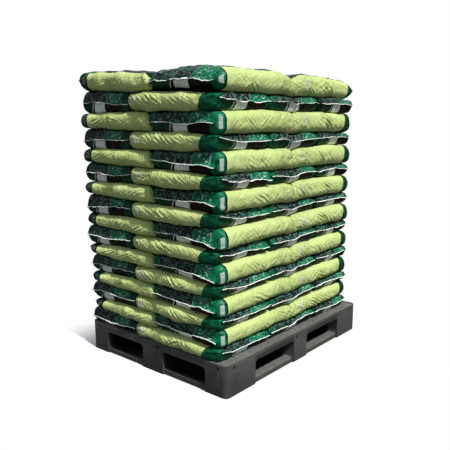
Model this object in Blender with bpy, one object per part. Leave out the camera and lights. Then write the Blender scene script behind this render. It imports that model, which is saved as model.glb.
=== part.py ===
"""A full pallet of sacks: sixteen layers of five filled film sacks on a moulded plastic pallet.

Metres, +Z up. The origin is on the floor under the middle of the pallet, X runs along its 1200 mm
side and Y along its 1000 mm side. Each layer is one solid of five sacks that press together at
mid-height, and each layer is the one below it turned by half a turn, as sacks are stacked to bond.
"""

import math

import bmesh
import bpy
from mathutils import Matrix, Vector

# Pallet, outside
PALLET_LENGTH = 1.200
PALLET_WIDTH = 1.000
PALLET_HEIGHT = 0.160
CORNER_RADIUS = 0.030
OUTER_EDGE = 0.006
LIP_WIDTH = 0.011
LIP_HEIGHT = 0.004

# Fork channels: those along Y open on the long faces, those along X on the short faces
CHANNEL_FLOOR = 0.025
CHANNEL_ROOF = 0.122
CHANNEL_ROUNDING = 0.016
LONG_FACE_MIDDLE_FOOT = 0.121
LONG_FACE_OPENING = 0.326
SHORT_FACE_MIDDLE_FOOT = 0.148
SHORT_FACE_OPENING = 0.291

# Base rails between the feet
RAIL_WIDTH = 0.070
RAIL_SETBACK = 0.008
RAIL_LIFT = 0.005

# Ribbed underside of the deck
DECK_SKIN = 0.009
RIB_WIDTH = 0.010
POCKETS_EACH_WAY = 3

# Small slots in the skirt, near the corners and over the middle feet
SLOT_DEPTH = 0.012
SLOT_WIDTH = 0.010
SLOT_HEIGHT = 0.020
SLOT_TOP = 0.148
SLOT_FROM_CORNER = 0.055
SLOT_FROM_MIDDLE = 0.040

# Sacks
LAYERS = 16
SACK_LENGTH = 0.555
SACK_WIDTH = 0.388
SACK_ROUNDING = 0.034
SEAM_WIDTH = 0.013
SEAM_THICKNESS = 0.004
SEAM_INSET = 0.020
PRESS = 0.001
BOTTOM_THICKNESS = 0.0728
TOP_THICKNESS = 0.0928
GAP = 0.0003
STACK_CENTRE = Vector((-0.019, 0.016))

# How far a cutter runs past the face it cuts, and how many facets round an edge or a corner
CUT_PAST = 0.050
EDGE_FACETS = 2
CORNER_FACETS = 4

# Worked out from the sizes above
MIDDLE_THICKNESS = (BOTTOM_THICKNESS + TOP_THICKNESS) / 2
DECK_TOP = PALLET_HEIGHT - LIP_HEIGHT
ROW_PITCH = SACK_WIDTH - PRESS
PAIR_PITCH = SACK_LENGTH + 2 * SEAM_WIDTH - PRESS
BLOCK_DEPTH = SACK_WIDTH + SACK_LENGTH - PRESS

PLASTIC_GREY = (0.060, 0.064, 0.066, 1.0)
FILM_GREEN = (0.480, 0.590, 0.160, 1.0)


def clear_scene():
    for obj in list(bpy.data.objects):
        bpy.data.objects.remove(obj, do_unlink=True)


def new_collection(name):
    collection = bpy.data.collections.new(name)
    bpy.context.scene.collection.children.link(collection)
    return collection


def new_material(name, colour, roughness, metallic=0.0):
    material = bpy.data.materials.new(name)
    material.use_nodes = True
    shader = material.node_tree.nodes["Principled BSDF"]
    shader.inputs["Base Color"].default_value = colour
    shader.inputs["Roughness"].default_value = roughness
    shader.inputs["Metallic"].default_value = metallic
    return material


def block_mesh(name, low, high, bevels=()):
    """A box between two corners. Each bevel is (axes, width, segments): it rounds the edges
    that run along any of those axes."""
    low, high = Vector(low), Vector(high)
    bm = bmesh.new()
    bmesh.ops.create_cube(
        bm, size=1.0, matrix=Matrix.LocRotScale((low + high) / 2, None, high - low)
    )
    for axes, width, segments in bevels:
        edges = [edge for edge in bm.edges if runs_along(edge, axes)]
        bmesh.ops.bevel(
            bm, geom=edges, offset=width, segments=segments, profile=0.5, affect="EDGES"
        )
    bmesh.ops.recalc_face_normals(bm, faces=bm.faces)
    mesh = bpy.data.meshes.new(name)
    bm.to_mesh(mesh)
    bm.free()
    return mesh


def runs_along(edge, axes):
    """True where an edge lies along X, Y or Z, as its letter in axes says."""
    nearly_all = 0.999
    direction = (edge.verts[1].co - edge.verts[0].co).normalized()
    return any(abs(direction["XYZ".index(axis)]) > nearly_all for axis in axes)


def add_cutter(collection, name, low, high, bevels=()):
    cutter = bpy.data.objects.new(name, block_mesh(name, low, high, bevels))
    cutter.hide_render = True
    cutter.display_type = "WIRE"
    collection.objects.link(cutter)
    return cutter


def cut_or_join(obj, collection, operation):
    boolean = obj.modifiers.new(operation.lower(), "BOOLEAN")
    boolean.operation = operation
    boolean.operand_type = "COLLECTION"
    boolean.collection = collection
    boolean.solver = "EXACT"


def channel_sides(middle_foot, opening):
    """The two channels of one face, as (near side, far side) from the middle of the pallet."""
    near = middle_foot / 2
    return [(near, near + opening), (-near - opening, -near)]


def cut_channels(cutters, along_y, along_x):
    """Fork channels right through the pallet, with rounded top corners."""
    end_x = PALLET_LENGTH / 2 + CUT_PAST
    end_y = PALLET_WIDTH / 2 + CUT_PAST
    for n, (low, high) in enumerate(along_y):
        add_cutter(
            cutters, f"channel_y_{n}",
            (low, -end_y, CHANNEL_FLOOR), (high, end_y, CHANNEL_ROOF),
            [("Y", CHANNEL_ROUNDING, EDGE_FACETS)],
        )
    for n, (low, high) in enumerate(along_x):
        add_cutter(
            cutters, f"channel_x_{n}",
            (-end_x, low, CHANNEL_FLOOR), (end_x, high, CHANNEL_ROOF),
            [("X", CHANNEL_ROUNDING, EDGE_FACETS)],
        )


def cut_base(cutters, along_y, along_x):
    """Holes in the base inside the outer rails, two crossing boxes in each quarter."""
    middle = (CHANNEL_FLOOR + CHANNEL_ROOF) / 2
    for i, x in enumerate(along_y):
        for j, y in enumerate(along_x):
            rail_x = math.copysign(PALLET_LENGTH / 2 - RAIL_WIDTH, x[0])
            rail_y = math.copysign(PALLET_WIDTH / 2 - RAIL_WIDTH, y[0])
            to_rail_x = sorted((min(x, key=abs), rail_x))
            to_rail_y = sorted((min(y, key=abs), rail_y))
            for n, (across, deep) in enumerate(((x, to_rail_y), (to_rail_x, y))):
                add_cutter(
                    cutters, f"base_hole_{i}{j}{n}",
                    (across[0], deep[0], -CUT_PAST), (across[1], deep[1], middle),
                )


def cut_rails(cutters, along_y, along_x):
    """Lifts the base rails off the floor between the feet, and sets their faces back."""
    middle = (CHANNEL_FLOOR + CHANNEL_ROOF) / 2
    end_x = PALLET_LENGTH / 2 + CUT_PAST
    end_y = PALLET_WIDTH / 2 + CUT_PAST
    for i, (x0, x1) in enumerate(along_y):
        add_cutter(cutters, f"lift_y_{i}", (x0, -end_y, -CUT_PAST), (x1, end_y, RAIL_LIFT))
        for side in (-1, 1):
            y0, y1 = sorted((side * (PALLET_WIDTH / 2 - RAIL_SETBACK), side * end_y))
            add_cutter(cutters, f"setback_y_{i}_{side}", (x0, y0, -CUT_PAST), (x1, y1, middle))
    for j, (y0, y1) in enumerate(along_x):
        add_cutter(cutters, f"lift_x_{j}", (-end_x, y0, -CUT_PAST), (end_x, y1, RAIL_LIFT))
        for side in (-1, 1):
            x0, x1 = sorted((side * (PALLET_LENGTH / 2 - RAIL_SETBACK), side * end_x))
            add_cutter(cutters, f"setback_x_{j}_{side}", (x0, y0, -CUT_PAST), (x1, y1, middle))


def cut_deck(cutters, along_y, along_x):
    """The shallow well that leaves the lip, and the rib pockets where the channels cross."""
    well_x = PALLET_LENGTH / 2 - LIP_WIDTH
    well_y = PALLET_WIDTH / 2 - LIP_WIDTH
    add_cutter(
        cutters, "deck_well",
        (-well_x, -well_y, DECK_TOP), (well_x, well_y, PALLET_HEIGHT + CUT_PAST),
        [("Z", CORNER_RADIUS - LIP_WIDTH, CORNER_FACETS)],
    )
    middle = (CHANNEL_FLOOR + CHANNEL_ROOF) / 2
    for i, (x0, x1) in enumerate(along_y):
        for j, (y0, y1) in enumerate(along_x):
            step_x = (x1 - x0) / POCKETS_EACH_WAY
            step_y = (y1 - y0) / POCKETS_EACH_WAY
            for a in range(POCKETS_EACH_WAY):
                for b in range(POCKETS_EACH_WAY):
                    low = Vector((x0 + a * step_x, y0 + b * step_y, middle))
                    high = Vector((low.x + step_x, low.y + step_y, DECK_TOP - DECK_SKIN))
                    rib = Vector((RIB_WIDTH / 2, RIB_WIDTH / 2, 0))
                    add_cutter(cutters, f"pocket_{i}{j}{a}{b}", low + rib, high - rib)


def slot_places(length):
    """Middles of a face's three slots: one near each corner and one over its middle foot."""
    return (SLOT_FROM_CORNER - length / 2, -SLOT_FROM_MIDDLE, length / 2 - SLOT_FROM_CORNER)


def cut_slots(cutters):
    """Blind slots in the skirt of all four faces."""
    half, low_z, high_z = SLOT_WIDTH / 2, SLOT_TOP - SLOT_HEIGHT, SLOT_TOP
    for side in (-1, 1):
        near, far = sorted((side * (PALLET_WIDTH / 2 - SLOT_DEPTH), side * (PALLET_WIDTH / 2 + CUT_PAST)))
        for n, x in enumerate(slot_places(PALLET_LENGTH)):
            add_cutter(cutters, f"slot_y_{n}_{side}", (x - half, near, low_z), (x + half, far, high_z))
        near, far = sorted((side * (PALLET_LENGTH / 2 - SLOT_DEPTH), side * (PALLET_LENGTH / 2 + CUT_PAST)))
        for n, y in enumerate(slot_places(PALLET_WIDTH)):
            add_cutter(cutters, f"slot_x_{n}_{side}", (near, y - half, low_z), (far, y + half, high_z))


def add_pallet(parts, material):
    """One moulded body: a rounded block, less its channels, base holes, deck well, ribs and slots."""
    mesh = block_mesh(
        "pallet",
        (-PALLET_LENGTH / 2, -PALLET_WIDTH / 2, 0.0),
        (PALLET_LENGTH / 2, PALLET_WIDTH / 2, PALLET_HEIGHT),
        [("Z", CORNER_RADIUS, CORNER_FACETS), ("XY", OUTER_EDGE, 1)],
    )
    pallet = bpy.data.objects.new("pallet", mesh)
    mesh.materials.append(material)
    parts.objects.link(pallet)
    cutters = new_collection("pallet_cutters")
    along_y = channel_sides(LONG_FACE_MIDDLE_FOOT, LONG_FACE_OPENING)
    along_x = channel_sides(SHORT_FACE_MIDDLE_FOOT, SHORT_FACE_OPENING)
    cut_channels(cutters, along_y, along_x)
    cut_base(cutters, along_y, along_x)
    cut_rails(cutters, along_y, along_x)
    cut_deck(cutters, along_y, along_x)
    cut_slots(cutters)
    cut_or_join(pallet, cutters, "DIFFERENCE")
    return pallet


def sack_corners(centre_x, centre_y, along_x, along_y):
    """Lowest and highest corners of a sack that lies on Z = 0 with its middle at this place."""
    half = Vector((along_x / 2, along_y / 2, 0))
    middle = Vector((centre_x, centre_y, 0))
    return middle - half, middle + half + Vector((0, 0, MIDDLE_THICKNESS))


def layer_mesh():
    """Five sacks as one body, middle of the block at X = Y = 0: two end to end on the -Y side,
    three side by side behind them. A flat seam stands out at mid-height of each outer end."""
    rounding = [("XYZ", SACK_ROUNDING, EDGE_FACETS)]
    pair_y = (SACK_WIDTH - BLOCK_DEPTH) / 2
    row_y = (BLOCK_DEPTH - SACK_LENGTH) / 2
    sacks = [
        sack_corners(side * PAIR_PITCH / 2, pair_y, SACK_LENGTH, SACK_WIDTH) for side in (-1, 1)
    ] + [sack_corners(n * ROW_PITCH, row_y, SACK_WIDTH, SACK_LENGTH) for n in (-1, 0, 1)]

    seam_low = (MIDDLE_THICKNESS - SEAM_THICKNESS) / 2
    seam_high = seam_low + SEAM_THICKNESS
    seam_half = SACK_WIDTH / 2 - SEAM_INSET
    pair_end = PAIR_PITCH / 2 + SACK_LENGTH / 2 + SEAM_WIDTH
    row_end = BLOCK_DEPTH / 2 + SEAM_WIDTH
    seams = [((-pair_end, pair_y - seam_half, seam_low), (pair_end, pair_y + seam_half, seam_high))]
    seams += [
        ((n * ROW_PITCH - seam_half, row_y, seam_low), (n * ROW_PITCH + seam_half, row_end, seam_high))
        for n in (-1, 0, 1)
    ]

    joined = new_collection("layer_pieces")
    for n, (low, high) in enumerate(sacks[1:]):
        add_cutter(joined, f"sack_piece_{n}", low, high, rounding)
    for n, (low, high) in enumerate(seams):
        add_cutter(joined, f"seam_piece_{n}", low, high)
    block = add_cutter(new_collection("layer_block"), "layer_block", *sacks[0], rounding)
    cut_or_join(block, joined, "UNION")
    graph = bpy.context.evaluated_depsgraph_get()
    return bpy.data.meshes.new_from_object(block.evaluated_get(graph))


def add_layers(parts, material):
    """Sixteen copies of the block. The lower ones are pressed flatter, and each is turned by
    half a turn from the one below."""
    mesh = layer_mesh()
    mesh.name = "sack_layer"
    mesh.materials.clear()
    mesh.materials.append(material)
    height = DECK_TOP
    for n in range(LAYERS):
        thickness = BOTTOM_THICKNESS + (TOP_THICKNESS - BOTTOM_THICKNESS) * n / (LAYERS - 1)
        layer = bpy.data.objects.new(f"sack_layer_{n + 1:02d}", mesh)
        layer.location = (*STACK_CENTRE, height + GAP)
        layer.rotation_euler.z = math.pi if n % 2 == 0 else 0.0
        layer.scale.z = (thickness - GAP) / MIDDLE_THICKNESS
        parts.objects.link(layer)
        height += thickness


def main():
    clear_scene()
    parts = new_collection("pallet_of_sacks")
    add_pallet(parts, new_material("pallet_plastic", PLASTIC_GREY, 0.55))
    add_layers(parts, new_material("sack_film", FILM_GREEN, 0.35))


main()
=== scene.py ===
"""Looks of a pallet of filled film sacks: eighty sacks with welded ends on a moulded plastic pallet.

Metres, +Z up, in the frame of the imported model. The script runs from top to bottom: standpoint and
studio, pallet, film, sacks.
"""

import math

import bmesh
import bpy
import numpy as np
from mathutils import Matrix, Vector


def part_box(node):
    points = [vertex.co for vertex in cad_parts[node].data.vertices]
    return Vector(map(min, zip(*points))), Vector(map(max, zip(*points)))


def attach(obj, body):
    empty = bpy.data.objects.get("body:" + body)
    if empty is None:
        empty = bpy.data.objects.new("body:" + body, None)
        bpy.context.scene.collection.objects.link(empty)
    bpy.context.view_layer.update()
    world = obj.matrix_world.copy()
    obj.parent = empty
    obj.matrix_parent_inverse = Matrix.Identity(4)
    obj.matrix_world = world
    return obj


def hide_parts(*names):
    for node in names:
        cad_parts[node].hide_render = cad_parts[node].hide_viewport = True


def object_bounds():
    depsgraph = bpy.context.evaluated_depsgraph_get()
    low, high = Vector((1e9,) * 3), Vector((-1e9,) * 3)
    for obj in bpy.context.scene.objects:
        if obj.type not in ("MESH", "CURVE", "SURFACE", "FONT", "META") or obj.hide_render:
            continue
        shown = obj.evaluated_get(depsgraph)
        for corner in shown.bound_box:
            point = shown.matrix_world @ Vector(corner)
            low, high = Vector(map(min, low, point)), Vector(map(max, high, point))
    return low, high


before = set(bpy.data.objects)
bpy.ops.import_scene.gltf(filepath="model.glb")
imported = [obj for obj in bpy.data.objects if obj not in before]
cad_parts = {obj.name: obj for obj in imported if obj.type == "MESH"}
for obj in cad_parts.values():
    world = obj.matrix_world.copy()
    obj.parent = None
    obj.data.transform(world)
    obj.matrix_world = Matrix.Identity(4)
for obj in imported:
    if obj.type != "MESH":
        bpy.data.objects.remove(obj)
cad_low, cad_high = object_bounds()

# Standpoint. The photograph was taken from eye height, off the pallet's near corner, with a plain
# lens. Yaw is clockwise from +Y, and the shift is that of a picture cut from a larger one.
EYE_FROM_CORNER = Vector((-1.791, -1.574, 1.248))
EYE_YAW = math.radians(50.65)
EYE_PITCH = math.radians(11.02)
FRAME_PIXELS = 450
FOCAL_PIXELS = 563.8
MIDDLE_PIXEL = Vector((244.5, 232.2))

camera_data = bpy.data.cameras.new("camera")
camera_data.lens = camera_data.sensor_width * FOCAL_PIXELS / FRAME_PIXELS
camera_data.shift_x = (FRAME_PIXELS / 2 - MIDDLE_PIXEL.x) / FRAME_PIXELS
camera_data.shift_y = (MIDDLE_PIXEL.y - FRAME_PIXELS / 2) / FRAME_PIXELS
camera = bpy.data.objects.new("camera", camera_data)
camera.location = Vector((cad_low.x, cad_low.y, 0.0)) + EYE_FROM_CORNER
camera.rotation_euler = (math.pi / 2 - EYE_PITCH, 0.0, -EYE_YAW)
bpy.context.scene.collection.objects.link(camera)
bpy.context.scene.camera = camera

# Studio. One warm key light stands high in front of the long face and only grazes the short one. An
# even pale surround fills the shade. The floor is pale, and turns to plain white away from the pallet.
KEY_DIRECTION = Vector((-0.094, -0.545, 0.834)).normalized()
KEY_STRENGTH = 4.4
KEY_SPREAD = math.radians(4.0)
KEY_COLOUR = (1.0, 0.975, 0.92)
SURROUND_COLOUR = (0.86, 0.89, 1.0, 1.0)
SURROUND_HORIZON = 0.215
SURROUND_ZENITH = 0.58
PLAIN_WHITE = (1.0, 1.0, 1.0, 1.0)
FLOOR_RADIUS = 14.0
FLOOR_GAP = 0.0005
FLOOR_FADE = (1.0, 1.85)
FLOOR_EDGE = (0.90, 1.02)
FLOOR_PALE = 0.86
FLOOR_BOUNCE = 0.10
# Painted shade: the floor's tone within the pallet's outline, where it lies under the pallet
FLOOR_PAINTED_SHADE = 0.03

key_data = bpy.data.lights.new("key", "SUN")
key_data.angle = KEY_SPREAD
key_data.energy = KEY_STRENGTH
key_data.color = KEY_COLOUR
key = bpy.data.objects.new("key", key_data)
key.rotation_euler = KEY_DIRECTION.to_track_quat("Z", "Y").to_euler()
bpy.context.scene.collection.objects.link(key)
bpy.context.scene.view_settings.view_transform = "Standard"


def studio_nodes(tree):
    """Short forms for a node tree: add a node with its values set, link two sockets, and change
    smoothly from 0 to 1 while a value goes from `start` to `stop`."""
    link = tree.links.new

    def add(kind, **values):
        node = tree.nodes.new("ShaderNode" + kind)
        for name, value in values.items():
            if hasattr(node, name):
                setattr(node, name, value)
            else:
                node.inputs[name.replace("_", " ")].default_value = value
        return node

    def fade(value, start, stop):
        ramp = add("MapRange", interpolation_type="SMOOTHSTEP", From_Min=start, From_Max=stop)
        link(value, ramp.inputs["Value"])
        return ramp.outputs["Result"]

    return add, link, fade


def surround():
    """Pale light from all round, stronger overhead, behind which the camera sees plain white."""
    world = bpy.data.worlds.new("surround")
    world.use_nodes = True
    world.node_tree.nodes.clear()
    add, link, _ = studio_nodes(world.node_tree)
    height = add("SeparateXYZ")
    link(add("TexCoord").outputs["Generated"], height.inputs[0])
    strength = add("MapRange", To_Min=SURROUND_HORIZON, To_Max=SURROUND_ZENITH)
    link(height.outputs["Z"], strength.inputs["Value"])
    fill = add("Background", Color=SURROUND_COLOUR)
    link(strength.outputs["Result"], fill.inputs["Strength"])
    seen = add("Background", Color=PLAIN_WHITE, Strength=1.0)
    mix = add("MixShader")
    link(add("LightPath").outputs["Is Camera Ray"], mix.inputs[0])
    link(fill.outputs[0], mix.inputs[1])
    link(seen.outputs[0], mix.inputs[2])
    link(mix.outputs[0], add("OutputWorld").inputs[0])
    return world


def floor_material():
    """Pale matt floor that fades to plain white away from the pallet's outline, measured in half
    sides of the pallet, and is painted dark below it as shade. It gives back little light, as a dull floor
    does."""
    material = bpy.data.materials.new("pale_floor")
    material.use_nodes = True
    material.node_tree.nodes.clear()
    add, link, fade = studio_nodes(material.node_tree)
    sides = add("VectorMath", operation="DIVIDE")
    sides.inputs[1].default_value = (cad_high.x, cad_high.y, 1.0)
    link(add("TexCoord").outputs["Object"], sides.inputs[0])
    size = add("VectorMath", operation="ABSOLUTE")
    link(sides.outputs["Vector"], size.inputs[0])
    halves = add("SeparateXYZ")
    link(size.outputs["Vector"], halves.inputs[0])
    away = add("Math", operation="MAXIMUM")
    link(halves.outputs["X"], away.inputs[0])
    link(halves.outputs["Y"], away.inputs[1])
    clear = fade(away.outputs["Value"], *FLOOR_EDGE)

    def matt(tone):
        # Painted shade: the floor is painted dark within the pallet's outline
        shade = add("MapRange", To_Min=FLOOR_PAINTED_SHADE, To_Max=tone)
        link(clear, shade.inputs["Value"])
        surface = add("BsdfDiffuse")
        link(shade.outputs["Result"], surface.inputs["Color"])
        return surface.outputs[0]

    seen = add("MixShader")
    link(fade(away.outputs["Value"], *FLOOR_FADE), seen.inputs[0])
    link(matt(FLOOR_PALE), seen.inputs[1])
    link(add("Emission").outputs[0], seen.inputs[2])
    mix = add("MixShader")
    link(add("LightPath").outputs["Is Camera Ray"], mix.inputs[0])
    link(matt(FLOOR_BOUNCE), mix.inputs[1])
    link(seen.outputs[0], mix.inputs[2])
    link(mix.outputs[0], add("OutputMaterial").inputs[0])
    return material


bpy.context.scene.world = surround()
floor_z = cad_low.z - FLOOR_GAP
floor_signs = ((-1, -1), (1, -1), (1, 1), (-1, 1))
floor_corners = [(x * FLOOR_RADIUS, y * FLOOR_RADIUS, floor_z) for x, y in floor_signs]
floor_mesh = bpy.data.meshes.new("floor")
floor_mesh.from_pydata(floor_corners, [], [(0, 1, 2, 3)])
floor_mesh.materials.append(floor_material())
floor = bpy.data.objects.new("floor", floor_mesh)
bpy.context.scene.collection.objects.link(floor)


# Pallet. One body of moulded dark grey plastic: deck, skirt, nine feet and base rails. The mould
# leaves every edge a little round and the skin finely grained. Use scuffs it and leaves dust on it.
# Its channels and the skirts of its long faces are painted darker as shade.
EDGE_ROUNDING = 0.0018
EDGE_SEGMENTS = 2
EDGE_LIMIT = math.radians(32)
FLAT_LIMIT = math.radians(1)
SAME_POINT = 0.00001
CLOUD_RANGE = (0.30, 0.72)
CLOUD_TONES = ((0.043, 0.047, 0.044, 1), (0.073, 0.078, 0.075, 1))
SCUFF_RANGE = (0.60, 0.74)
SCUFF_SHARE = 0.7
SCUFF_GREY = (0.19, 0.195, 0.195, 1)
DUST_GREY = (0.250, 0.255, 0.240, 1)
DUST_ON_SIDES = 0.08

# Painted shade in the channels and on the skirts of the long faces comes in over these ranges of
# depth behind the outer faces, of distance from the middle of a long face, and of height above the floor
CHANNEL_SHADE_FROM_END = (0.004, 0.040)
CHANNEL_SHADE_FROM_SIDE = (0.050, 0.085)
CHANNEL_SHADE_BELOW = (0.130, 0.122)
CHANNEL_SHADE_BLACK = (0.006, 0.0065, 0.0065, 1)
SKIRT_FROM = (0.050, 0.075)
SKIRT_TO = (0.400, 0.375)
SKIRT_DEPTH = (0.040, 0.020)
SKIRT_TOP = (0.149, 0.141)
SKIRT_FOOT = (0.090, 0.105)
SKIRT_SHADE = 0.62


def material_nodes(material):
    """The short forms of a studio tree, and three more: a step of arithmetic, one colour laid over
    another by a share from 0 to 1, and noise read at a place."""
    add, link, fade = studio_nodes(material.node_tree)

    def give(socket, value):
        if isinstance(value, (int, float, tuple)):
            socket.default_value = value
        else:
            link(value, socket)

    def maths(operation, *terms):
        node = add("Math", operation=operation)
        for socket, term in zip(node.inputs, terms):
            give(socket, term)
        return node.outputs[0]

    def blend(under, over, share):
        mix = add("Mix", data_type="RGBA")
        give(mix.inputs["A"], under)
        give(mix.inputs["B"], over)
        give(mix.inputs["Factor"], share)
        return mix.outputs["Result"]

    def noise(place, **values):
        texture = add("TexNoise", **values)
        link(place, texture.inputs["Vector"])
        return texture.outputs["Fac"]

    return add, link, fade, maths, blend, noise


def plastic_material():
    """Dark grey moulded plastic: a fine grain in the skin, cloudy tones, pale scuffs where the
    scratch noise peaks, dust that lies on the faces that look up, painted shade in the channels that
    darkens with the distance in from the outer faces, and painted shade on the long faces' skirts."""
    material = bpy.data.materials.new("pallet_plastic")
    material.use_nodes = True
    add, link, fade, maths, blend, noise = material_nodes(material)
    shader = material.node_tree.nodes["Principled BSDF"]
    shader.inputs["Specular IOR Level"].default_value = 0.45
    place = add("TexCoord").outputs["Object"]
    squeezed = add("Mapping", Scale=(1.0, 1.0, 5.0))
    link(place, squeezed.inputs["Vector"])
    scratch = noise(squeezed.outputs["Vector"], Scale=46.0, Detail=6.0, Roughness=0.75)
    cloud = noise(place, Scale=7.0, Detail=5.0, Roughness=0.6)
    grain = noise(place, Scale=900.0, Detail=2.0)
    sink = noise(place, Scale=16.0, Detail=1.0)

    tones = add("ValToRGB")
    for stop, where, tone in zip(tones.color_ramp.elements, CLOUD_RANGE, CLOUD_TONES):
        stop.position = where
        stop.color = tone
    link(cloud, tones.inputs["Fac"])
    scuffs = maths("MULTIPLY", fade(scratch, *SCUFF_RANGE), SCUFF_SHARE)
    colour = blend(tones.outputs["Color"], SCUFF_GREY, scuffs)
    facing = add("SeparateXYZ")
    link(add("NewGeometry").outputs["Normal"], facing.inputs[0])
    patchy = maths("MULTIPLY_ADD", scratch, 1.6, -0.42)
    dust = maths("MULTIPLY", maths("MAXIMUM", facing.outputs["Z"], DUST_ON_SIDES), patchy)
    colour = blend(colour, DUST_GREY, dust)

    parts = add("SeparateXYZ")
    link(place, parts.inputs[0])
    height = parts.outputs["Z"]
    from_middle = maths("ABSOLUTE", parts.outputs["X"])
    from_end = maths("SUBTRACT", cad_high.x, from_middle)
    from_side = maths("SUBTRACT", cad_high.y, maths("ABSOLUTE", parts.outputs["Y"]))
    # Painted shade: the channels darken with the distance in from the outer faces, under the deck
    channel_shade = maths("MULTIPLY", fade(from_end, *CHANNEL_SHADE_FROM_END), fade(from_side, *CHANNEL_SHADE_FROM_SIDE))
    channel_shade = maths("MULTIPLY", channel_shade, fade(height, *CHANNEL_SHADE_BELOW))
    # Painted shade: the skirts of the long faces between the feet are painted darker
    skirt = maths("MULTIPLY", fade(from_middle, *SKIRT_FROM), fade(from_middle, *SKIRT_TO))
    for value, limits in ((from_side, SKIRT_DEPTH), (height, SKIRT_TOP), (height, SKIRT_FOOT)):
        skirt = maths("MULTIPLY", skirt, fade(value, *limits))
    # Painted shade in the channels and on the skirts, laid over the plastic's colour
    painted_shade = maths("MAXIMUM", channel_shade, maths("MULTIPLY", skirt, SKIRT_SHADE))
    link(blend(colour, CHANNEL_SHADE_BLACK, painted_shade), shader.inputs["Base Color"])
    link(maths("MULTIPLY_ADD", cloud, 0.22, 0.40), shader.inputs["Roughness"])

    fine = add("Bump", Strength=0.25, Distance=0.0004)
    link(grain, fine.inputs["Height"])
    coarse = add("Bump", Strength=0.5, Distance=0.0025)
    link(maths("MULTIPLY_ADD", scratch, 0.10, sink), coarse.inputs["Height"])
    link(fine.outputs["Normal"], coarse.inputs["Normal"])
    link(coarse.outputs["Normal"], shader.inputs["Normal"])
    return material


def whole_copy(node):
    """A frame node's mesh with its doubled points joined and its flat faces made whole again."""
    bm = bmesh.new()
    bm.from_mesh(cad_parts[node].data)
    bmesh.ops.remove_doubles(bm, verts=bm.verts, dist=SAME_POINT)
    bmesh.ops.dissolve_limit(bm, angle_limit=FLAT_LIMIT, verts=bm.verts, edges=bm.edges)
    mesh = bpy.data.meshes.new(node)
    bm.to_mesh(mesh)
    bm.free()
    mesh.materials.clear()
    return mesh


pallet_mesh = whole_copy("pallet")
pallet_mesh.materials.append(plastic_material())
pallet_mesh.shade_smooth()
pallet_mesh.set_sharp_from_angle(angle=EDGE_LIMIT)
moulded_pallet = bpy.data.objects.new("moulded_pallet", pallet_mesh)
bpy.context.scene.collection.objects.link(moulded_pallet)
rounding = moulded_pallet.modifiers.new("edge_rounding", "BEVEL")
rounding.width = EDGE_ROUNDING
rounding.segments = EDGE_SEGMENTS
rounding.limit_method = "ANGLE"
rounding.angle_limit = EDGE_LIMIT
rounding.harden_normals = True
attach(moulded_pallet, "root")
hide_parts("pallet")


# Film. A printed polythene sleeve, pale lime on its two side panels and dark on its wide faces and
# round its ends. A sack's film is measured by two distances in its UV map: u round the sleeve from
# the middle of its right side, and v along it from the weld of its outer end.
FILM_HALF_ROUND = 0.4515
SIDE_HALF = 0.0415

# Side panels: where the pale part begins, with an edge that leans on the left side, and small fields
PALE_HALF = 0.060
PALE_FROM_RIGHT = 0.075
PALE_FROM_LEFT = 0.122
PALE_SLOPE = 0.33
STRIPE_FROM = 0.067
CORNER_BAR = (0.038, 0.058)
CORNER_BAR_HEIGHT = (-0.018, 0.022)
BARE_PATCH = (0.524, 0.552)
BARE_PATCH_HEIGHT = (-0.014, 0.026)

# Upper ply: fields whose edges lean, a field along the outer end, and a round green area
FIELD_SLOPE = 0.45
MIDDLE_FIELD = (0.235, 0.430)
WHITE_LINE = (0.445, 0.456)
INNER_FIELD = 0.560
OUTER_FIELD = 0.100
DISC_MIDDLE = 0.350
DISC_RADIUS = 0.118
RING_WIDTH = 0.003
FLECK_MARGIN = 0.024
FLECK_RANGE = (0.57, 0.63)
PRINT_RANGE = (0.46, 0.68)

# Lower ply: places across the sack, from its left side, and depths in from the weld
THIN_LINE = (0.116, 0.121)
THIN_LINE_SLOPE = 0.5
PANEL_PLACE = (0.130, 0.218)
PANEL_DEPTH = 0.054
PANEL_SLOPE = 0.25
MAROON_PLACE = (0.255, 0.325)
MAROON_DEPTH = (0.012, 0.040)
CORNER_FROM = 0.352

# Both plies: the outer edge of the welded fin is white up to this v
WELD_EDGE = -0.0092

LIME = (0.490, 0.620, 0.205, 1)
LIME_LIGHT = (0.590, 0.700, 0.330, 1)
DARK_GREEN = (0.0015, 0.050, 0.020, 1)
MID_GREEN = (0.003, 0.160, 0.072, 1)
SHADE_GREEN = (0.001, 0.040, 0.020, 1)
TOP_GREEN = (0.004, 0.018, 0.013, 1)
GREY_GREEN = (0.0035, 0.0080, 0.0075, 1)
LEAF_GREEN = (0.030, 0.150, 0.108, 1)
FLECK_GREY = (0.15, 0.21, 0.19, 1)
FLECK_GREEN = (0.34, 0.50, 0.42, 1)
RING_GREEN = (0.20, 0.36, 0.28, 1)
BLACK = (0.0012, 0.0015, 0.0016, 1)
MAROON = (0.009, 0.0010, 0.0018, 1)
SILVER = (0.84, 0.90, 0.92, 1)
BAR_GREY = (0.40, 0.48, 0.45, 1)
PATCH_GREY = (0.56, 0.60, 0.46, 1)
WELD_WHITE = (0.92, 0.94, 0.91, 1)

# Ridges in the film: their length, their width and the detail of the noise that makes them
FLECK_RIDGES = (0.012, 0.0075, 2.0)
FOLD_RIDGES = (0.060, 0.0105, 1.5)
PATCH_RIDGES = (0.055, 0.040, 1.0)
PLEAT_RIDGES = (0.050, 0.0110, 1.5)
CREASE_RIDGES = (0.034, 0.0075, 2.0)
CRUMPLE_RIDGES = (0.024, 0.0090, 2.0)

# Folds and crumples come in over these ranges of v, and pleats die out over theirs
FOLDS_FROM = (0.05, 0.14)
PLEATS_TO = (0.090, 0.010)
CRUMPLES_FROM = (0.40, 0.50)
FOLD_ANGLE = math.radians(26)


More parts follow.
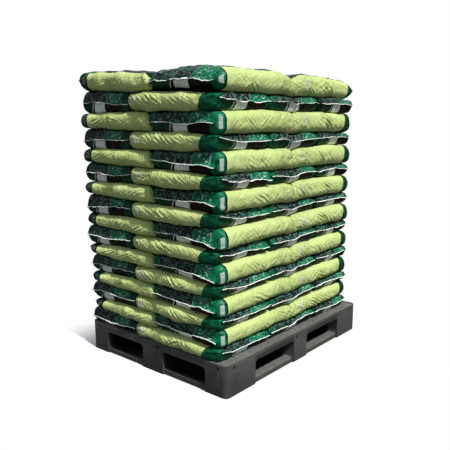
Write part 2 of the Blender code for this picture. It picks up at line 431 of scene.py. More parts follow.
def film_material():
    """The printed film. Each block of colour is a window in (u, v), laid over the last one. The
    side panels have slanting folds and the plies have pleats that run in from the weld, both from
    noise that is stretched along them. A number of its own in `sack` makes each sack differ, and a
    second number says how far the outer ends of its side panels are painted black as shade."""
    material = bpy.data.materials.new("sack_film")
    material.use_nodes = True
    add, link, fade, maths, blend, noise = material_nodes(material)
    shader = material.node_tree.nodes["Principled BSDF"]
    shader.inputs["Specular IOR Level"].default_value = 0.13
    parts = add("SeparateXYZ")
    link(add("UVMap", uv_map="film").outputs["UV"], parts.inputs[0])
    u, v = parts.outputs["X"], parts.outputs["Y"]
    place = add("TexCoord").outputs["Object"]
    seed = add("Attribute", attribute_name="sack").outputs["Fac"]
    painted_end_shade = add("Attribute", attribute_name="painted_end_shade").outputs["Fac"]

    def above(value, limit):
        return maths("GREATER_THAN", value, limit)

    def below(value, limit):
        return maths("LESS_THAN", value, limit)

    def both(*masks):
        result = masks[0]
        for mask in masks[1:]:
            result = maths("MULTIPLY", result, mask)
        return result

    def window(value, low, high):
        return both(above(value, low), below(value, high))

    def slanted(value, slope, start):
        return maths("MULTIPLY_ADD", value, slope, start)

    def streaks(along, sideways, length, width, detail):
        """Noise stretched along one direction: `length` and `width` are the size of its ridges."""
        spot = add("CombineXYZ")
        link(maths("DIVIDE", along, length), spot.inputs[0])
        link(maths("DIVIDE", sideways, width), spot.inputs[1])
        link(maths("MULTIPLY", seed, 37.0), spot.inputs[2])
        return noise(spot.outputs[0], Scale=1.0, Detail=detail, Roughness=0.45, Distortion=0.25)

    from_right = maths("ABSOLUTE", u)
    from_left = maths("SUBTRACT", FILM_HALF_ROUND, from_right)
    across = maths("SUBTRACT", from_left, SIDE_HALF)
    height = maths("MULTIPLY", maths("SIGN", u), maths("MINIMUM", from_right, from_left))
    upper = above(u, 0.0)
    lower = maths("SUBTRACT", 1.0, upper)
    right = below(from_right, PALE_HALF)
    left = below(from_left, PALE_HALF)
    on_side = maths("MAXIMUM", right, left)

    print_tone = fade(noise(place, Scale=34.0, Detail=4.0, Roughness=0.62), *PRINT_RANGE)
    leafy = blend(GREY_GREEN, LEAF_GREEN, print_tone)
    disc_green = blend(MID_GREEN, SHADE_GREEN, print_tone)
    corner_green = blend(DARK_GREEN, MID_GREEN, maths("MULTIPLY_ADD", print_tone, 0.7, 0.3))
    lime = blend(LIME, LIME_LIGHT, maths("MULTIPLY", noise(place, Scale=5.0, Detail=3.0), 0.7))
    field = slanted(across, FIELD_SLOPE, v)
    outer = below(v, OUTER_FIELD)
    flecks = fade(streaks(across, v, *FLECK_RIDGES), *FLECK_RANGE)
    aside = maths("POWER", maths("SUBTRACT", across, DISC_MIDDLE), 2.0)
    from_disc = maths("SQRT", maths("ADD", aside, maths("POWER", v, 2.0)))
    line = slanted(v, THIN_LINE_SLOPE, across)
    panel = slanted(v, PANEL_SLOPE, across)
    shallow = below(v, PANEL_DEPTH)

    colour = leafy
    for mask, tone in (
        (both(upper, window(field, *MIDDLE_FIELD)), TOP_GREEN),
        (both(upper, window(field, *WHITE_LINE)), WELD_WHITE),
        (both(upper, above(field, INNER_FIELD)), TOP_GREEN),
        (both(upper, outer), leafy),
        (both(upper, outer, flecks), FLECK_GREY),
        (both(upper, below(from_disc, DISC_RADIUS)), RING_GREEN),
        (both(upper, below(from_disc, DISC_RADIUS - RING_WIDTH)), disc_green),
        (both(upper, flecks, below(from_disc, DISC_RADIUS - FLECK_MARGIN)), FLECK_GREEN),
        (lower, BLACK),
        (both(lower, below(line, THIN_LINE[0])), DARK_GREEN),
        (both(lower, window(line, *THIN_LINE), shallow), WELD_WHITE),
        (both(lower, window(panel, *PANEL_PLACE), shallow), SILVER),
        (both(lower, window(panel, *MAROON_PLACE), window(v, *MAROON_DEPTH)), MAROON),
        (both(lower, above(panel, CORNER_FROM)), DARK_GREEN),
        (both(right, below(v, PALE_FROM_RIGHT)), disc_green),
        (both(window(height, *CORNER_BAR_HEIGHT), right, window(v, *CORNER_BAR)), BAR_GREY),
        (both(right, window(v, STRIPE_FROM, PALE_FROM_RIGHT)), BLACK),
        (both(left, below(v, PALE_FROM_LEFT)), corner_green),
        # Painted shade: the outer ends of the side panels of some sacks are painted black
        (both(on_side, painted_end_shade), BLACK),
        (both(right, above(v, PALE_FROM_RIGHT)), lime),
        (both(left, above(slanted(height, PALE_SLOPE, v), PALE_FROM_LEFT)), lime),
        (both(left, window(v, *BARE_PATCH), window(height, *BARE_PATCH_HEIGHT)), PATCH_GREY),
        (below(v, WELD_EDGE), WELD_WHITE),
    ):
        colour = blend(colour, tone, mask)
    link(colour, shader.inputs["Base Color"])

    dull = noise(place, Scale=22.0, Detail=4.0)
    on_print = maths("MULTIPLY_ADD", dull, 0.16, maths("MULTIPLY_ADD", lower, 0.26, 0.12))
    link(maths("ADD", on_print, maths("MULTIPLY", on_side, 0.14)), shader.inputs["Roughness"])

    cos_fold, sin_fold = math.cos(FOLD_ANGLE), math.sin(FOLD_ANGLE)
    along_fold = slanted(height, sin_fold, maths("MULTIPLY", v, cos_fold))
    across_fold = maths("SUBTRACT", maths("MULTIPLY", height, cos_fold), maths("MULTIPLY", v, sin_fold))
    patches = streaks(v, height, *PATCH_RIDGES)
    past_end = both(on_side, fade(v, *FOLDS_FROM))
    folds = streaks(along_fold, across_fold, *FOLD_RIDGES)
    folds = both(folds, both(past_end, fade(patches, 0.40, 0.62)))
    pleats = both(streaks(v, across, *PLEAT_RIDGES), fade(v, *PLEATS_TO))
    along_crease = slanted(height, 1.0, maths("MULTIPLY", v, 0.35))
    creases = streaks(along_crease, slanted(height, -0.35, v), *CREASE_RIDGES)
    creases = both(creases, both(past_end, fade(patches, 0.62, 0.44)))
    crumples = streaks(slanted(v, 0.5, height), slanted(height, -0.3, v), *CRUMPLE_RIDGES)
    crumples = both(crumples, fade(v, *CRUMPLES_FROM), on_side, 2.0)
    ridges = maths("ADD", creases, maths("ADD", folds, maths("ADD", pleats, crumples)))
    crinkle = noise(place, Scale=32.0, Detail=2.0, Roughness=0.5, Distortion=0.8)
    fine = add("Bump", Strength=0.60, Distance=0.0016)
    link(crinkle, fine.inputs["Height"])
    coarse = add("Bump", Strength=1.0, Distance=0.0085)
    link(ridges, coarse.inputs["Height"])
    link(fine.outputs["Normal"], coarse.inputs["Normal"])
    link(coarse.outputs["Normal"], shader.inputs["Normal"])
    return material


# Sacks. Each is a sleeve of that film, filled with loose goods, with its side panels tucked in at
# the ends and both plies welded flat across at mid-height. Five lie in a layer, two end to end and
# three side by side, and every layer is turned by half a turn from the one below.
LAYERS = 16
STACK_MIDDLE = np.array([-0.019, 0.016])
STACK_HALF = (0.58, 0.47)
NOMINAL_THICKNESS = 0.083

# Where the sacks of a layer end and meet, from the stack's middle. Layers that lie like the top one
# have 1 as their turn, the others -1. The hidden places are for sacks that the photograph doesn't
# show. Rows of low layers that lie like the top one are drawn in.
ROW_EDGES = (-0.581, -0.225, 0.187, 0.581)
PAIR_ROOT = 0.5675
NEAR_SIDE = 0.471
FAR_SIDE = 0.499
HIDDEN_SIDE = 0.474
JOINT = {1: -0.030, -1: -0.108}
JOINT_SLANT = {1: 0.034, -1: 0.014}
HIDDEN_JOINT = -0.080
SHOWN_TO = 0.05
LOW_LAYERS = 11
STEP_IN = 0.045
FAR_SIDE_STEP = 0.010
SET_BACK = 0.012
TOP_OVERHANG = 0.018
HIGH_OVERHANG = 0.006
HIGH_FROM = 14
ROW_GAP = 0.0005
PAIR_GAP = 0.0012
LAYER_SWAY = 0.0016
PAIR_SCATTER = 0.003
ROW_SCATTER = 0.004

# The beds between layers. A wave is given by its height, its length and the first of its seeds
BED_WAVES = ((0.0026, 0.55, 40), (0.0012, 0.22, 80))
CORNER_SAG = 0.009
CORNER_SWELL = 0.017
JOINT_DIP = 0.010
TOP_JOINT_DIP = 0.014
JOINT_DIP_HALF = 0.050
SIDE_GIVE = 0.0085
FILM_GAP = 0.0002

# A sack's section, its ends, and the plain nose that the print is measured over
FIN_LENGTH = 0.013
FIN_HALF_THICKNESS = 0.0009
CORNER_ACROSS = 0.046
TOP_CORNER_ACROSS = 0.056
CORNER_UP = 0.92
CORNER_POWER = 2.5
CORNER_TURN = (0.006, 0.018)
TUCKED_END = 0.016
TUCKED_INSET = 0.010
END_POWER = 2.3
SHOULDER = 0.050
SHOULDER_TO = 0.076
END_DEPTH = 0.078
BODY_FROM = 0.086
PRINT_NOSE = (0.036, 2.4)

# What differs by a sack's place in its layer. A turn-in is how far the corners at the weld are drawn
# in sideways, beyond CORNER_TURN, and over what length
TURN_INS = {"front_left": (0.016, 0.030), "right": (0.016, 0.030)}
TURN_IN = (0.004, 0.016)
TEETH = {"left": -1, "right": 1}
SLIDES = {"left": 0.030, "front_right": -0.016}
# How far the outer ends of the side panels are painted black as shade, by place in the layer
PAINTED_END_SHADES = {"left": 0.85, "front_right": 0.65}
CROWNS = {"front_left": 0.017, "front_right": 0.011, "left": 0.010, "middle": 0.014, "right": 0.012}
FOLDS = {"front_left": 0.0060, "front_right": 0.0095, "left": 0.0075, "middle": 0.0, "right": 0.0105}
TOP_LEFT_FOLDS = 1.3
WELD_LEVELS = {"front_left": -0.10, "front_right": 0.0, "left": 0.20, "middle": 0.22, "right": 0.15}
WELD_RISES = {"front_left": -0.35, "front_right": -0.10, "left": 0.0, "middle": 0.0, "right": 0.62}
PRINT_SLIPS = {"front_left": 0.004, "front_right": -0.040, "left": 0.010, "middle": 0.010, "right": -0.004}

layer_boxes = [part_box(f"sack_layer_{n + 1:02d}") for n in range(LAYERS)]
heights = [low.z for low, high in layer_boxes] + [layer_boxes[-1][1].z]


def ease(value):
    """Zero below 0, one above 1, and a smooth S between."""
    value = np.clip(value, 0.0, 1.0)
    return value * value * (3 - 2 * value)


def waves(points, wavelength, seed, count=7):
    """Slow unevenness: a sum of sine waves that run in different directions, about -1 to 1."""
    rng = np.random.default_rng(seed)
    directions = rng.normal(size=(count, points.shape[-1]))
    directions /= np.linalg.norm(directions, axis=1, keepdims=True)
    lengths = wavelength * rng.uniform(0.7, 1.6, count)
    phases = rng.uniform(0, 2 * np.pi, count)
    turns = points @ (directions / lengths[:, None]).T * 2 * np.pi + phases
    return np.sin(turns).sum(-1) / np.sqrt(count)


def bed_height(level, x, y):
    """Height of the bed between two layers at (x, y): its level, a slow unevenness that grows up
    the stack, a sag at its right corners and less at its near left one, a rise of the top layers at
    its far left one, and a dip over the joint in the long face. Towards either long face the layer
    whose side panels show there swells, and the one whose thin welded ends show gives way."""
    rise = level / LAYERS
    points = np.stack([x, y], -1)
    uneven = sum(tall * waves(points, length, seed + level) for tall, length, seed in BED_WAVES)
    x, y = x - STACK_MIDDLE[0], y - STACK_MIDDLE[1]
    half_x, half_y = STACK_HALF
    corner = ease((np.abs(x) / half_x - 0.55) / 0.45) * ease((np.abs(y) / half_y - 0.5) / 0.5)
    sag = CORNER_SAG * corner * np.where(x > 0, 1.0, 0.4 * (y < 0))
    swell = CORNER_SWELL * rise**8 * ease(-x / 0.55) * ease((y + 0.02) / 0.40)
    turned = 1 if level % 2 == 0 else -1
    inside = 0 < level < LAYERS
    side = -np.sign(y) * ease((np.abs(y) - 0.18) / 0.27)
    give = SIDE_GIVE * inside * turned * side
    joint = np.exp(-((x / JOINT_DIP_HALF) ** 2)) * ease(np.abs(y) / 0.4)
    dip = TOP_JOINT_DIP * (y < 0) if level == LAYERS else JOINT_DIP * inside
    return heights[level] + rise * (uneven - sag) + swell * (level > LAYERS / 2) + give - dip * joint


def section_table(half_width, corner):
    """The film's section from the middle of the right side, over the top, to the middle of the
    left side, as (distance round the film, across, up). A corner is a quarter of a superellipse."""
    power = 2 / CORNER_POWER
    angle = np.linspace(0, np.pi / 2, 60)
    across = half_width - corner * (1 - np.cos(angle) ** power)
    up = 1 - CORNER_UP + CORNER_UP * np.sin(angle) ** power
    across = np.concatenate([[half_width], across, -across[::-1], [-half_width]])
    up = np.concatenate([[0], up, up[::-1], [0]])
    steps = np.hypot(np.diff(across), np.diff(up) * NOMINAL_THICKNESS / 2)
    return np.concatenate([[0], np.cumsum(steps)]), across, up


def nose(inward, depth, power):
    """Share of the full half height at a distance in from an end: a superellipse."""
    reach = np.clip(1 - inward / depth, 0.0, 1.0)
    return (1 - reach**power) ** (1 / power)


def fold_field(inward, up, seed, tall, way):
    """Height of the folds in a side panel. Each cluster is a train of narrow parallel ridges under a
    bell-shaped envelope, and the first two are larger. Most rise gently away from the sack's outer
    end, or to it if `way` is -1."""
    rng = np.random.default_rng(seed)
    total = np.zeros_like(inward)
    for n, share in enumerate((1.0, 0.7, 0.45, 0.35, 0.35)):
        large = n < 2
        size = 1.0 if large else 0.6
        lean = way * math.radians(rng.uniform(20, 40)) * (1 if large or rng.random() < 0.6 else -1)
        spacing = rng.uniform(0.013, 0.020)
        spread = rng.uniform(0.018, 0.034) * size
        reach = rng.uniform(0.050, 0.085) * size
        dx = inward - (rng.normal(0.29, 0.04) if n == 0 else rng.uniform(0.12, 0.52))
        dy = up - rng.uniform(-0.016, 0.020)
        ride = dx * math.cos(lean) + dy * math.sin(lean)
        cross = dy * math.cos(lean) - dx * math.sin(lean)
        cross = cross + 0.0030 * waves(np.stack([inward, up], -1), 0.12, seed + 7 * n + 1)
        train = (0.5 + 0.5 * np.cos(2 * np.pi * cross / spacing)) ** 2.8 - 0.30
        total += tall * share * train * np.exp(-((cross / spread) ** 2) - (ride / reach) ** 2)
    return total


def pleat_field(across, inward, seed):
    """Height of the pleats that the weld gathers: narrow ridges side by side, fading inwards."""
    rng = np.random.default_rng(seed)
    total = np.zeros_like(across)
    for _ in range(22):
        offset = across - rng.uniform(-0.19, 0.19) - rng.normal(0, 0.35) * inward
        width = rng.uniform(0.005, 0.012)
        reach = rng.uniform(0.012, 0.045)
        tall = rng.normal(0, 0.0016)
        total += tall * np.exp(-((offset / width) ** 2) - np.maximum(inward, 0) / reach)
    return total


class Sack:
    """The shape of one sack. `root` is the middle of its outer weld in plan, `out` points outwards
    there, and `right` is to the right of someone who faces that end. `bare` is 1 or -1 where its
    right or left side shows, and 0 where neither does. `joint` is the y at which the pair meets the
    row, and `slant` how far the sack leans there from bottom to top. A point of the film is given by
    (u, e): u as in the film's UV map, and e the distance inwards from the weld's root."""

    def __init__(self, layer, role, root, out, half_width, length, bare, seed, joint, slant):
        self.layer, self.role, self.root, self.out = layer, role, root, out
        self.right = np.array([-out[1], out[0]])
        self.half_width, self.length, self.bare, self.seed = half_width, length, bare, seed
        self.joint, self.slant = joint, slant
        self.on_top = layer == LAYERS
        corner = TOP_CORNER_ACROSS if self.on_top else CORNER_ACROSS
        self.round, self.across, self.up = section_table(half_width, corner)
        self.scale = self.round[-1] / FILM_HALF_ROUND
        rng = np.random.default_rng(seed)
        self.noses = rng.uniform(0.024, 0.036, 2) * (self.on_top * (0.2 if role == "left" else 1.1) + 1)
        self.power = 1.6 if self.on_top else 2.8
        if self.on_top and role == "front_right":
            self.noses, self.power = np.array([0.068, 0.068]), 1.25
        self.turn_in = TURN_INS.get(role, TURN_IN)
        self.weld_level = WELD_LEVELS[role] + rng.uniform(-0.12, 0.12)
        self.weld_tilt = rng.uniform(-0.12, 0.12)
        self.weld_rise = WELD_RISES[role] * rng.uniform(0.7, 1.3) * (not self.on_top)
        self.weld_wave = 0.05 if self.on_top else 0.10
        self.droop = rng.uniform(0.10, 0.55)
        self.curl = rng.uniform(0.0008, 0.0024)
        self.tuck = rng.uniform(0.003, 0.009)
        self.swell = rng.uniform(0.004, 0.009)
        self.tooth = rng.uniform(0.008, 0.014) * TEETH.get(role, 0)
        self.tooth_at = rng.uniform(0.24, 0.28) if role == "left" else rng.uniform(0.36, 0.43)
        self.slide = SLIDES.get(role, 0.0) + rng.normal(0, 0.002)
        # Painted shade at the outer ends of the side panels
        self.painted_end_shade = PAINTED_END_SHADES.get(role, 0.0)
        self.slip = PRINT_SLIPS[role] + rng.normal(0, 0.005)

    def side_height(self, u):
        """Distance up or down from the middle of the nearer side panel, along the film."""
        r = np.abs(u)
        return np.sign(u) * np.minimum(r, FILM_HALF_ROUND - r)

    def bareness(self, u):
        """One on the half of the sack whose side panel shows, nought on the other."""
        to_right = np.abs(u) < FILM_HALF_ROUND / 2
        return np.where(to_right, self.bare == 1, self.bare == -1).astype(float)

    def bulge(self, side, e):
        """How far a side panel that shows stands out: a wavy swell and one tooth, where the panel
        comes out slowly and steps back. Both fade towards the panel's edges and its ends."""
        proud = self.swell * (1 + 0.6 * waves(e[..., None], 0.30, self.seed + 2))
        before = np.clip(e / self.tooth_at, 0, 1)
        after = np.clip((e - self.tooth_at) / (self.length - self.tooth_at), 0, 1)
        turned = ease((e - self.tooth_at + 0.018) / 0.036)
        proud = proud + self.tooth * (before * (1 - turned) + after * turned - 0.5)
        proud = proud * np.cos(np.clip(side / 0.052, -1, 1) * np.pi / 2)
        return proud * ease((self.length - e) / 0.06) * ease(e / 0.05)

    def weld_height(self, across, e):
        """Height of the weld between the two beds, from -1 to 1: a level of its own, a tilt, a wave,
        and a rise or fall at the side that shows. It fades inwards, where the sack is full."""
        level = self.weld_level + self.weld_tilt * (across / self.half_width)
        level = level + self.weld_wave * waves(across[..., None], 0.34, self.seed + 3)
        at_side = np.exp(-(((self.half_width - self.bare * across) / 0.085) ** 2))
        level = level + self.weld_rise * at_side * abs(self.bare)
        return level * ease(1 - e / 0.10)

    def base(self, u, e):
        """Point of the smooth sack. The section shrinks to the weld over a rounded nose and narrows
        at the corners in plan. Its height runs from the bed below to the bed above."""
        r = np.abs(u) * self.scale
        across = np.interp(r, self.round, self.across)
        up = np.interp(r, self.round, self.up) * np.sign(u)
        side = self.side_height(u)
        shown = self.bareness(u)
        bend = np.clip(1 - e / (CORNER_TURN[1] + self.turn_in[1] * shown), 0, 1)
        inset = (CORNER_TURN[0] + self.turn_in[0] * shown) * (1 - np.sqrt(1 - bend**2))
        tucked = 1 - np.sqrt(1 - (0.95 * np.clip(1 - (self.length - e) / TUCKED_END, 0, 1)) ** 2)
        across = across * (1 - (inset + TUCKED_INSET * tucked) / self.half_width)
        tuck = self.tuck * np.exp(-((side / 0.017) ** 2)) * ease(e / 0.022) * ease(1 - e / 0.095)
        across = across + np.sign(across) * (self.bulge(side, e) * shown - tuck)

        reach = nose(e, np.where(up >= 0, *self.noses), self.power)
        reach = reach * nose(np.maximum(self.length - e, 0.0016), TUCKED_END, END_POWER)
        level = self.weld_height(across, e)
        up = level + np.where(up >= 0, (1 - level) * up * reach, (1 + level) * up * reach)

        plan = self.root - self.out * e[..., None] + self.right * across[..., None]
        x, y = plan[..., 0], plan[..., 1]
        y = y + self.slant * up / 2 * np.exp(-(((y - self.joint) / 0.06) ** 2))
        low = bed_height(self.layer - 1, x, y) + FILM_GAP
        high = bed_height(self.layer, x, y) - FILM_GAP
        if self.on_top:
            dome = 0.25 + 0.75 * np.clip(1 - np.abs(across / self.half_width) ** 2.2, 0, 1) ** 0.8
            slump = 1 - 0.8 * ease((e / self.length - 0.72) / 0.28)
            high = high + CROWNS[self.role] * dome * slump
        z = low + (high - low) * (1 + up) / 2
        fin = np.clip(-e / FIN_LENGTH, 0, 1)
        ripple = waves(across[..., None], 0.09, self.seed + 5)
        ripple = ripple + 0.5 * waves(across[..., None], 0.035, self.seed + 6)
        z = z + np.sign(u) * FIN_HALF_THICKNESS * (1 - nose(e, 0.006, END_POWER)) * (1 - 0.4 * fin)
        z = z - self.droop * FIN_LENGTH * fin**1.3 + self.curl * ripple * fin
        return np.stack([x, y, z], -1)

    def relief(self, u, e):
        """Height of folds, lumps and pleats over the smooth sack, where the film shows."""
        side = self.side_height(u)
        panel = self.bareness(u) * ease((0.075 - np.abs(side)) / 0.030) * ease((self.length - e) / 0.02)
        points = np.stack([e, side], -1)
        lumps = 0.0024 * waves(points * (1, 0.6), 0.17, self.seed + 11)
        lumps = lumps + 0.0010 * waves(points, 0.05, self.seed + 12)
        tall = FOLDS[self.role] * (TOP_LEFT_FOLDS if self.on_top and self.role == "left" else 1.0)
        way = -1 if self.role == "front_left" else 1
        folds = fold_field(e, side, self.seed + 13, tall, way)
        total = panel * ease((e - 0.02) / 0.06) * (lumps + folds)
        across = np.interp(np.abs(u) * self.scale, self.round, self.across)
        ply = np.sign(u)
        on_upper, on_lower = (pleat_field(across, e, self.seed + n) for n in (21, 22))
        pleats = np.where(ply > 0, on_upper, on_lower)
        dents = 0.0026 * waves(np.stack([across, ply * 0.1], -1), 0.11, self.seed + 23)
        total = total + ease(1 - e / 0.085) * ease(e / 0.006) * (pleats + dents * ease(e / 0.02))
        if self.on_top:
            from_edge = np.minimum(np.abs(u), FILM_HALF_ROUND - np.abs(u))
            top = ease((from_edge - 0.045) / 0.025) * (u > 0) * ease((self.length - e) / 0.03)
            points = np.stack([across, e], -1)
            creases = 0.0024 * waves(points, 0.15, self.seed + 31)
            creases = creases + 0.0012 * waves(points, 0.045, self.seed + 32)
            total = total + top * creases
        return total

    def points(self, u, e):
        """The smooth sack moved out along its normal by the relief."""
        step = 0.0012
        here = self.base(u, e)
        round_it = self.base(u + step, e) - self.base(u - step, e)
        along = self.base(u, e + step) - self.base(u, e - step)
        normal = np.cross(round_it, along)
        normal = normal / np.maximum(np.linalg.norm(normal, axis=-1, keepdims=True), 1e-12)
        return here - normal * self.relief(u, e)[..., None]

    def film_places(self, u, e):
        """The (u, v) of the print. v is the length of film from the weld over a plain nose, less
        the slide of the print. u slips sideways near the end. At the upper sides of a top sack it is
        that of film a little higher up, so the print of the upper ply comes down over them."""
        inward = np.linspace(0, self.length, 400)
        profile = nose(inward, *PRINT_NOSE) * NOMINAL_THICKNESS / 2
        lengths = np.concatenate([[0], np.cumsum(np.hypot(np.diff(inward), np.diff(profile)))])
        v = np.where(e < 0, e, np.interp(e, inward, lengths)) - self.slide * ease(e / 0.05)
        from_side = np.minimum(np.abs(u), FILM_HALF_ROUND - np.abs(u))
        lift = 0.011 * self.on_top * (u > 0) * ease(from_side / 0.045) * ease((0.16 - from_side) / 0.06)
        lift = lift * np.where(np.abs(u) < FILM_HALF_ROUND / 2, 1, -1)
        slip = np.sign(u) * self.slip * ease(1 - e / 0.085) * ease((from_side - 0.045) / 0.06)
        return lift + u + slip, v


def ring(stops):
    """Places round the film: from 0 over the top to the far side, then back below, mirrored.
    `stops` is a list of (where, intervals up to there)."""
    upper = [np.zeros(1)]
    last = 0.0
    for stop, count in stops:
        upper.append(np.linspace(last, stop, count + 1)[1:])
        last = stop
    upper = np.concatenate(upper)
    return np.concatenate([upper, -upper[-2:0:-1]])


def side_stops(bare, wide, shown, hidden):
    """Stops of a ring with `shown` intervals up the half of a side panel that shows, `hidden` up one
    that doesn't, and `wide` across the ply between them."""
    near, far = (shown if bare == 1 else hidden), (shown if bare == -1 else hidden)
    turn = {shown: 4, hidden: 2}
    end = FILM_HALF_ROUND
    right = [(SHOULDER, near), (SHOULDER_TO, turn[near])]
    left = [(end - SHOULDER, turn[far]), (end, far)]
    return right + [(end - SHOULDER_TO, wide)] + left


def quads(first, rows, count):
    """Faces of a grid of `rows` closed rings of `count` points each, numbered from `first`."""
    i, j = np.meshgrid(np.arange(rows - 1), np.arange(count), indexing="ij")
    near, far = first + i * count, first + (i + 1) * count
    after = (j + 1) % count
    return np.stack([near + j, near + after, far + after, far + j], -1).reshape(-1, 4)


def zipper(first, ring_a, second, ring_b):
    """Triangles that join two closed rings with different numbers of points. Each edge of one ring
    takes its third point from the other ring, at the last point whose edge lies before it."""
    def middles(points):
        r = np.where(points < 0, 2 * FILM_HALF_ROUND + points, points)
        return (r + np.append(r[1:], 2 * FILM_HALF_ROUND)) / 2

    middle_a, middle_b = middles(ring_a), middles(ring_b)
    a, b = np.arange(len(ring_a)), np.arange(len(ring_b))
    to_b = np.searchsorted(middle_b, middle_a)
    to_a = np.searchsorted(middle_a, middle_b, side="right")
    from_a = np.stack([first + a, first + (a + 1) % len(a), second + to_b % len(b)], -1)
    from_b = np.stack([second + (b + 1) % len(b), second + b, first + to_a % len(a)], -1)
    return np.concatenate([from_a, from_b])


def cap(first, count):
    """Faces that close a mirrored ring: each strip joins the upper points to those below them."""
    half = count // 2
    i = np.arange(1, half - 1)
    strips = np.stack([first + i, first + i + 1, first + count - i - 1, first + count - i], -1)
    tips = [(first, first + 1, first + count - 1), (first + half - 1, first + half, first + half + 1)]
    return strips, np.array(tips)


def sack_mesh(name, sack):
    """Mesh of one sack: a grid for its body, a finer one for its outer end and fin, and the film's
    (u, v) at every corner of every face."""
    body_ring = ring(side_stops(sack.bare, 30 if sack.on_top else 5, 17, 5 if sack.on_top else 2))
    end_ring = ring([(SHOULDER_TO, 8), (FILM_HALF_ROUND - SHOULDER_TO, 42), (FILM_HALF_ROUND, 8)])
    fin_stations = np.array([-1, -0.6, -0.2]) * FIN_LENGTH
    end_stations = np.concatenate([fin_stations, END_DEPTH * np.linspace(0, 1, 12) ** 1.6])
    spacing = 0.0062 if sack.bare or sack.on_top else 0.045
    stop = sack.length - TUCKED_END
    body_stations = np.linspace(BODY_FROM, stop, int((stop - BODY_FROM) / spacing))
    close = sack.length - TUCKED_END * np.array([0.6, 0.25, 0.06])
    body_stations = np.concatenate([body_stations, close])

    grids = []
    for stations, places in ((end_stations, end_ring), (body_stations, body_ring)):
        e, u = np.meshgrid(stations, places, indexing="ij")
        grids.append((u.ravel(), e.ravel(), sack.points(u, e).reshape(-1, 3)))
    u, e, points = (np.concatenate(pair) for pair in zip(*grids))
    count_end, count_body = len(end_ring), len(body_ring)
    start_body = len(end_stations) * count_end
    strips_tip, ends_tip = cap(0, count_end)
    strips_back, ends_back = cap(start_body + (len(body_stations) - 1) * count_body, count_body)
    fours = np.concatenate([
        quads(0, len(end_stations), count_end),
        quads(start_body, len(body_stations), count_body),
        strips_tip[:, ::-1], strips_back,
    ])
    threes = np.concatenate([
        zipper(start_body - count_end, end_ring, start_body, body_ring),
        ends_tip[:, ::-1], ends_back,
    ])

    mesh = bpy.data.meshes.new(name)
    mesh.vertices.add(len(points))
    mesh.vertices.foreach_set("co", points.astype(np.float32).ravel())
    loops = np.concatenate([fours.ravel(), threes.ravel()])
    mesh.loops.add(len(loops))
    mesh.loops.foreach_set("vertex_index", loops.astype(np.int32))
    sizes = np.concatenate([np.full(len(fours), 4), np.full(len(threes), 3)])
    starts = np.concatenate([[0], np.cumsum(sizes)[:-1]])
    mesh.polygons.add(len(sizes))
    mesh.polygons.foreach_set("loop_start", starts.astype(np.int32))
    mesh.update(calc_edges=True)
    mesh.validate()

    print_u, print_v = sack.film_places(u, e)
    corner_u = print_u[loops]
    owner = np.repeat(np.arange(len(sizes)), sizes)
    lowest = np.full(len(sizes), np.inf)
    np.minimum.at(lowest, owner, corner_u)
    wraps = (lowest[owner] < -FILM_HALF_ROUND / 2) & (corner_u > FILM_HALF_ROUND - 1e-6)
    corner_u = np.where(wraps, -corner_u, corner_u)
    film = mesh.uv_layers.new(name="film")
    film.data.foreach_set("uv", np.stack([corner_u, print_v[loops]], -1).astype(np.float32).ravel())
    # The second value paints the outer ends of the side panels black as shade, fading inwards
    values = {"sack": np.full(len(points), sack.seed % 97 / 97), "painted_end_shade": sack.painted_end_shade * ease(1.6 - e / 0.07)}
    for title, value in values.items():
        mesh.attributes.new(title, "FLOAT", "POINT").data.foreach_set("value", value.astype(np.float32))
    return mesh


def add_sack(name, sack, material):
    """Adds one sack to the scene, in the place of its layer's solid."""
    mesh = sack_mesh(name, sack)
    mesh.materials.append(material)
    mesh.shade_smooth()
    piece = bpy.data.objects.new(name, mesh)
    bpy.context.scene.collection.objects.link(piece)
    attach(piece, "root")
    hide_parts(f"sack_layer_{sack.layer:02d}")


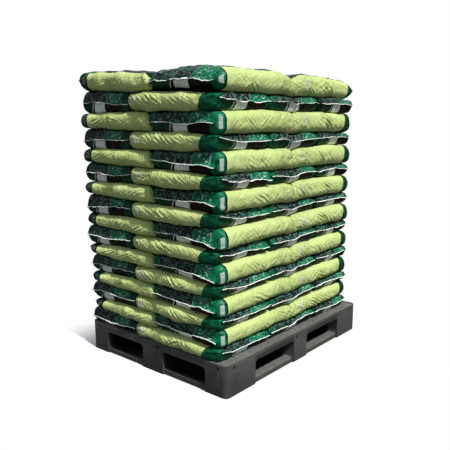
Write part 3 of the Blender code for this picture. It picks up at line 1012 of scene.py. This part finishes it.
def layer_sacks(layer):
    """The five sacks of a layer, as (number, sack), laid out for the top layer's turn and turned
    round with the layer. Each layer sways a little."""
    rng = np.random.default_rng(500 + layer)
    turn = -1 if layer % 2 else 1
    low_share = max(1 - layer / LOW_LAYERS, 0)
    middle = STACK_MIDDLE + rng.normal(0, LAYER_SWAY, 2)

    def lines(across):
        """The pair's outer side, the row's outer end, the joint between them and its slant, for a
        sack at `across`. They follow the photograph on the face that it shows."""
        shown = turn * across < SHOWN_TO or layer == LAYERS
        far = FAR_SIDE - FAR_SIDE_STEP * low_share if shown else HIDDEN_SIDE
        pair_side, row_side = (NEAR_SIDE, far) if turn == 1 else (far, NEAR_SIDE)
        return pair_side, row_side, JOINT[turn] if shown else HIDDEN_JOINT, JOINT_SLANT[turn] * shown

    def sack(number, role, root, out, half_width, length, bare, joint, slant):
        return number, Sack(layer, role, middle + turn * np.array(root), turn * np.array(out, float),
                            half_width, length, bare, 1000 + 10 * layer + number,
                            STACK_MIDDLE[1] + turn * joint, slant)

    for number, role, side in ((1, "front_left", -1), (2, "front_right", 1)):
        pair_side, row_side, joint, slant = lines(side)
        push = rng.normal(0, PAIR_SCATTER) + TOP_OVERHANG * (layer == LAYERS and side == 1)
        root = (side * (PAIR_ROOT + push), (joint - pair_side) / 2)
        half_width = (joint + pair_side) / 2 - PAIR_GAP
        yield sack(number, role, root, (side, 0), half_width, PAIR_ROOT + push, -side, joint, slant)
    for number, role, bare in ((3, "left", 1), (4, "middle", 0), (5, "right", -1)):
        low, high = ROW_EDGES[number - 3], ROW_EDGES[number - 2]
        pair_side, row_side, joint, slant = lines((low + high) / 2)
        push = rng.normal(0, ROW_SCATTER) - SET_BACK * (turn == -1)
        push = push - STEP_IN * (turn == 1) * low_share + HIGH_OVERHANG * (layer > HIGH_FROM)
        root = ((low + high) / 2, row_side + push)
        length = row_side - joint + push
        yield sack(number, role, root, (0, 1), (high - low) / 2 - ROW_GAP, length, bare, joint, slant)


sack_film = film_material()
for layer in range(1, LAYERS + 1):
    for number, sack in layer_sacks(layer):
        add_sack(f"sack_{layer:02d}_{number}", sack, sack_film)
